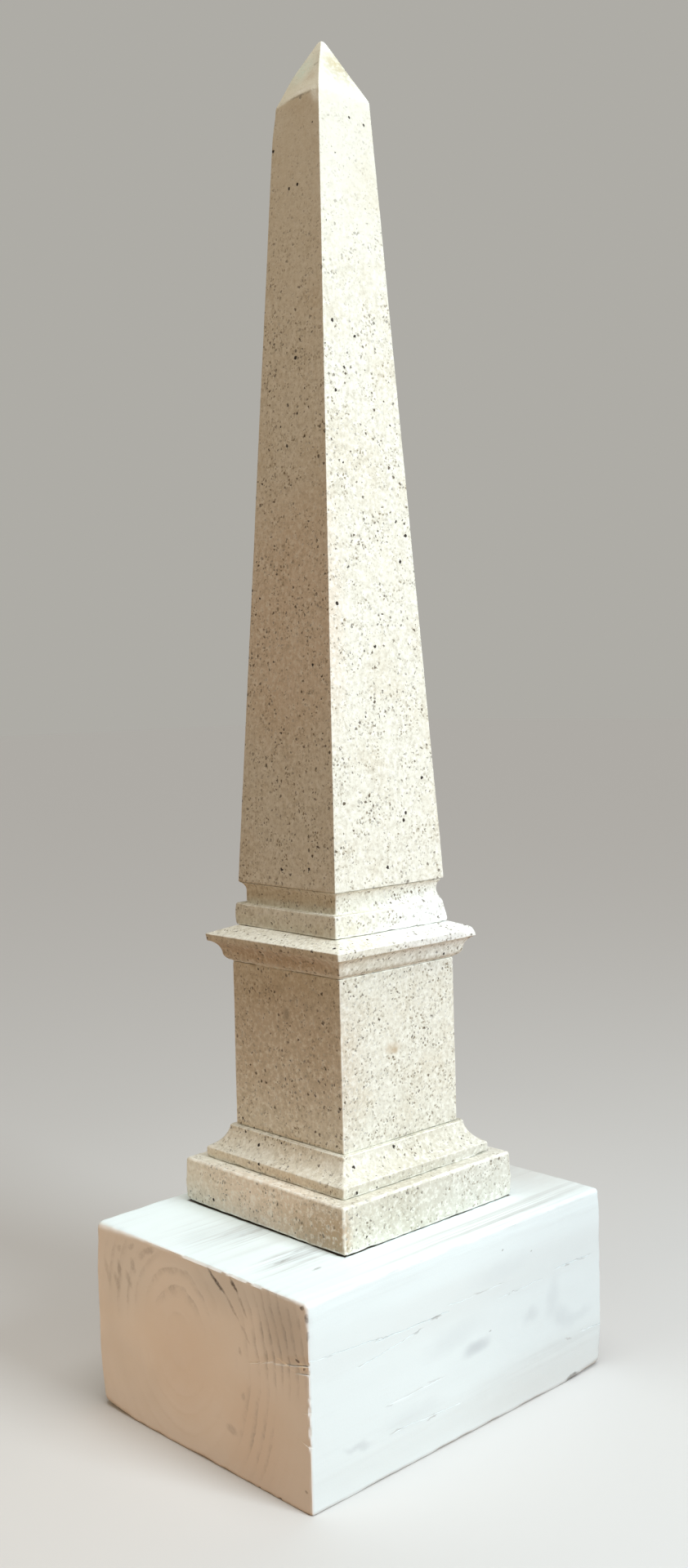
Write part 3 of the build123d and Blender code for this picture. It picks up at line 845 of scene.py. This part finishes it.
# The worn corner is rubbed to this radius about a core of these sizes, more and more from where it starts.
CAP_CORNER_RADIUS = 3.1
CAP_CORE_REACH = 36.2
CAP_CORE_FOOT = 9.6
CAP_WEAR_FOOT = 6.5
CAP_WEAR_START = 28.0
CAP_WEAR_LENGTH = 8.0
outline = [Vector((24.0, 0.0))]
outline += run(outline[-1], (32.0, 0.0), 3)
outline += run(outline[-1], (32.1, 0.55), 1)
outline += run(outline[-1], (32.8, 0.65), 1)
outline += run(outline[-1], (35.0, 4.0), 8, rise=0.6)
outline += run(outline[-1], (38.8, 8.5), 9, rise=-0.8)
outline += run(outline[-1], FASCIA_FOOT, 1)
outline += run(outline[-1], CAP_LIP, 6)
outline += run(outline[-1], (30.65, 15.0), 12)
outline += run(outline[-1], (24.0, 15.0), 3)
outline = softened(outline, FASCIA_FOOT, 0.3)
outline = softened(outline, CAP_LIP, 0.45)
cap_bm = four_sided(outline, columns=60, arris=0.5, seed=0.4, swell=0.26, chip=2.0)
for vert in cap_bm.verts:
    here = vert.co / MM
    slope_level = CAP_LIP_LEVEL + CAP_SLOPE * (CAP_LIP_REACH - max(here.x, -here.y))
    core_level = min(max(here.z, CAP_CORE_FOOT), slope_level - CAP_CORNER_RADIUS)
    core = Vector((min(here.x, CAP_CORE_REACH), max(here.y, -CAP_CORE_REACH), core_level))
    out = here - core
    towards = min(1.0, max(0.0, (min(here.x, -here.y) - CAP_WEAR_START) / CAP_WEAR_LENGTH))
    if towards > 0.0 and here.z > CAP_WEAR_FOOT and out.length > CAP_CORNER_RADIUS:
        vert.co = here.lerp(core + out.normalized() * CAP_CORNER_RADIUS, towards) * MM
rub(cap_bm, (38.0, -38.0, 10.5), reach=6.0, passes=4)
rub(cap_bm, (-40.0, -40.0, 11.0), reach=3.0, passes=3)
cap = settled(cap_bm, "weathered_cap", "pedestal_cap", PEDESTAL_TURN)
cap.data.materials.append(stone)


# Shaft base moulding
# A nearly upright roll with a ledge on it, then a hollow neck that flares out again under the shaft. The
# ledge is crisp on one side, and on the next it has been rubbed away towards the right-hand corner.
SHAFT_TURN = math.radians(-1.8)
ROLL_REACH = 30.65
ROLL_HEAD = (ROLL_REACH, 8.9)
NECK_FOOT = (27.6, 8.9)
# Where the ledge is rubbed away, an even slope starts at this level and reach and goes up and in by these
# amounts. It takes the place of all that lies below the ledge's head, a path of this length up and in.
SLOPE_FOOT = 7.5
SLOPE_REACH = 30.8
SLOPE_RISE = 5.3
SLOPE_DEPTH = 3.2
LEDGE_HEAD = 12.8
LEDGE_PATH = 8.35
outline = [Vector((20.0, 0.0))]
outline += run(outline[-1], (ROLL_REACH, 0.0), 4)
outline += run(outline[-1], ROLL_HEAD, 11, rise=0.35)
outline += run(outline[-1], NECK_FOOT, 5)
outline += run(outline[-1], (27.6, 13.5), 7)
outline += run(outline[-1], (29.7, 17.4), 8, rise=-0.7)
outline += run(outline[-1], (20.0, 17.4), 4)
outline = softened(outline, ROLL_HEAD, 0.45)
outline = softened(outline, NECK_FOOT, 0.4)
neck_bm = four_sided(outline, columns=48, arris=0.7, seed=0.5, swell=0.20, chip=1.6)
for vert in neck_bm.verts:
    here = vert.co / MM
    out = max(abs(here.x), abs(here.y))
    on_right_side = abs(here.y) < here.x
    worn = (-here.y - 6.0) / 22.0 if on_right_side else (here.x + 24.0) / 46.0
    worn = min(1.0, max(0.0, worn)) if on_right_side or here.y < -abs(here.x) + 0.01 else 0.0
    worn = worn * worn * (3.0 - 2.0 * worn)
    if SLOPE_FOOT < here.z < LEDGE_HEAD and worn > 0.0:
        passed = min(1.0, max(0.0, (here.z - SLOPE_FOOT + ROLL_REACH - out) / LEDGE_PATH))
        rubbed_out = SLOPE_REACH - SLOPE_DEPTH * passed * passed * (3.0 - 2.0 * passed)
        widen = 1.0 + (rubbed_out / out - 1.0) * worn
        rubbed_up = here.z + (SLOPE_FOOT + SLOPE_RISE * passed - here.z) * worn
        vert.co = Vector((here.x * widen, here.y * widen, rubbed_up)) * MM
for vert in neck_bm.verts:
    vert.co += Vector((-1.3, 1.3, 0.0)) * near(vert.co, (30.8, -30.8, 7.5), 8.0) * MM
rub(neck_bm, (30.0, -30.0, 9.5), reach=10.0, passes=16)
shaft_base = settled(neck_bm, "necked_shaft_base", "shaft_base_moulding", SHAFT_TURN)
shaft_base.data.materials.append(stone)


# Shaft
# The needle and its pyramidion, cast as one tall stone. Its tip, and the shoulders that the pyramidion
# rises from, are rubbed blunt.
SHAFT_FOOT = (29.7, 0.0)
SHOULDER = (13.4, 307.5)
outline = [Vector((20.0, 0.0))]
outline += run(outline[-1], SHAFT_FOOT, 4)
outline += run(outline[-1], SHOULDER, 250)
outline += run(outline[-1], (0.9, 331.9), 26)
outline += run(outline[-1], (0.4, 331.9), 1)
outline = softened(outline, SHAFT_FOOT, 0.5)
outline = softened(outline, SHOULDER, 0.7)
shaft_bm = four_sided(outline, columns=44, arris=0.5, seed=0.6, swell=0.14, chip=1.2)
rub(shaft_bm, (29.7, -29.7, 0.0), reach=5.0, passes=6)
for vert in shaft_bm.verts:
    unworn = vert.co.copy()
    vert.co += Vector((0.8, 0.8, -0.3)) * near(unworn, (-13.4, -13.4, 306.8), 5.5) * MM
    vert.co += Vector((0.5, -0.5, -0.8)) * near(unworn, (-13.4, 13.4, 307.5), 15.0) * MM
    vert.co += Vector((0.35, -0.35, -0.3)) * near(unworn, (0.0, 0.0, 332.0), 20.0) * MM
rub(shaft_bm, (-13.4, -13.4, 307.5), reach=5.0, passes=6)
rub(shaft_bm, (13.4, -13.4, 307.5), reach=2.5, passes=3)
rub(shaft_bm, (0.6, -0.6, 331.6), reach=2.4, passes=4)
shaft = settled(shaft_bm, "needle_shaft", "shaft", SHAFT_TURN)
shaft.data.materials.append(stone)


# Floor, light and camera
# A plain pale floor under a plain pale sky. A broad soft lamp on the right and another overhead light the
# object, and three weak ones lift its shaded sides.
FLOOR_COLOUR = (0.606, 0.605, 0.596)
FLOOR_WARMTH = (0.28, 0.14, 0.06)
BACKDROP_COLOUR = (0.424, 0.413, 0.381)
SKY_COLOUR = (1.0, 0.84, 0.62)
SKY_STRENGTH = 0.134


def seen(tree):
    """1 where the floor or the sky is looked at, also in a gloss, and 0 where it only throws light."""
    rays = add(tree, "ShaderNodeLightPath").outputs
    in_gloss = maths(tree, "MAXIMUM", rays["Is Glossy Ray"], rays["Is Transmission Ray"])
    return maths(tree, "MAXIMUM", rays["Is Camera Ray"], in_gloss)


floor_bm = bmesh.new()
bmesh.ops.create_grid(floor_bm, x_segments=1, y_segments=1, size=8.0)
floor = finished(floor_bm, "floor")
material, tree, shader, place = new_material("pale_floor")
tree.links.new(tinted(tree, seen(tree), FLOOR_WARMTH, FLOOR_COLOUR), shader.inputs["Base Color"])
shader.inputs["Roughness"].default_value = 0.9
shader.inputs["Specular IOR Level"].default_value = 0.1
floor.data.materials.append(material)

world = bpy.data.worlds.new("pale_sky")
bpy.context.scene.world = world
world.use_nodes = True
tree = world.node_tree
tree.nodes.clear()
sky = add(tree, "ShaderNodeBackground", {"Color": (*SKY_COLOUR, 1.0), "Strength": SKY_STRENGTH})
backdrop = add(tree, "ShaderNodeBackground", {"Color": (*BACKDROP_COLOUR, 1.0), "Strength": 1.0})
mixed = add(tree, "ShaderNodeMixShader", {0: seen(tree), 1: sky.outputs[0], 2: backdrop.outputs[0]})
add(tree, "ShaderNodeOutputWorld", {"Surface": mixed.outputs[0]})

# A broad distant lamp, all but overhead.
OVERHEAD_WAY = Vector((-0.06, -0.20, 0.97))
overhead = bpy.data.lights.new("overhead_lamp", "SUN")
overhead.energy = 1.80
overhead.angle = math.radians(40.0)
overhead.color = (1.0, 0.99, 0.97)
sun = bpy.data.objects.new("overhead_lamp", overhead)
sun.rotation_euler = (-OVERHEAD_WAY).to_track_quat("-Z", "Y").to_euler()
bpy.context.scene.collection.objects.link(sun)

# Soft boxes: the main one to the right, a warm fill high on the left, a low one behind for the far sides,
# and a low warm reflector for the shaded end of the timber. Each is its place, where it faces, its width,
# its height, its spread in degrees, its power and its colour.
soft_boxes = (
    ("side_lamp", (0.06, -0.82, 0.55), (0.0, 0.0, 0.2), 0.30, 0.40, 180.0, 7.5, (0.90, 1.015, 1.09)),
    ("fill_lamp", (-0.55, 0.05, 0.62), (0.0, 0.0, 0.42), 0.30, 0.30, 180.0, 0.53, (1.0, 0.79, 0.53)),
    ("back_lamp", (0.42, 0.46, 0.13), (0.0, 0.0, 0.27), 0.24, 0.12, 80.0, 0.17, (1.0, 0.95, 0.88)),
    ("reflector", (-0.25, 0.04, 0.042), (0.0, 0.03, 0.042), 0.24, 0.05, 80.0, 0.0262, (1.0, 0.72, 0.475)),
)
for name, stand, target, wide, high, spread, power, tint in soft_boxes:
    lamp = bpy.data.lights.new(name, "AREA")
    lamp.shape = "RECTANGLE"
    lamp.size = wide
    lamp.size_y = high
    lamp.energy = power
    lamp.color = tint
    lamp.spread = math.radians(spread)
    box = bpy.data.objects.new(name, lamp)
    box.location = stand
    box.visible_camera = False
    box.rotation_euler = (Vector(target) - Vector(stand)).to_track_quat("-Z", "Y").to_euler()
    bpy.context.scene.collection.objects.link(box)

# The camera stands at the photograph's viewpoint, a little to the left of the block's near corner.
CAMERA_PLACE = Vector((-428.10, -445.88, 286.99)) * MM
CAMERA_YAW = math.radians(46.09)
CAMERA_PITCH = math.radians(-3.757)
CAMERA_ROLL = math.radians(-1.401)
FOCAL_PIXELS = 1894.9
PHOTO_HEIGHT = 1920
camera = bpy.data.cameras.new("camera")
camera.sensor_width = 36.0
camera.lens = FOCAL_PIXELS / PHOTO_HEIGHT * camera.sensor_width
eye = bpy.data.objects.new("camera", camera)
eye.matrix_world = (Matrix.Translation(CAMERA_PLACE)
                    @ Matrix.Rotation(CAMERA_YAW - math.pi / 2, 4, "Z")
                    @ Matrix.Rotation(CAMERA_PITCH + math.pi / 2, 4, "X")
                    @ Matrix.Rotation(CAMERA_ROLL, 4, "Z"))
bpy.context.scene.collection.objects.link(eye)
bpy.context.scene.camera = eye
bpy.context.scene.view_settings.view_transform = "Standard"
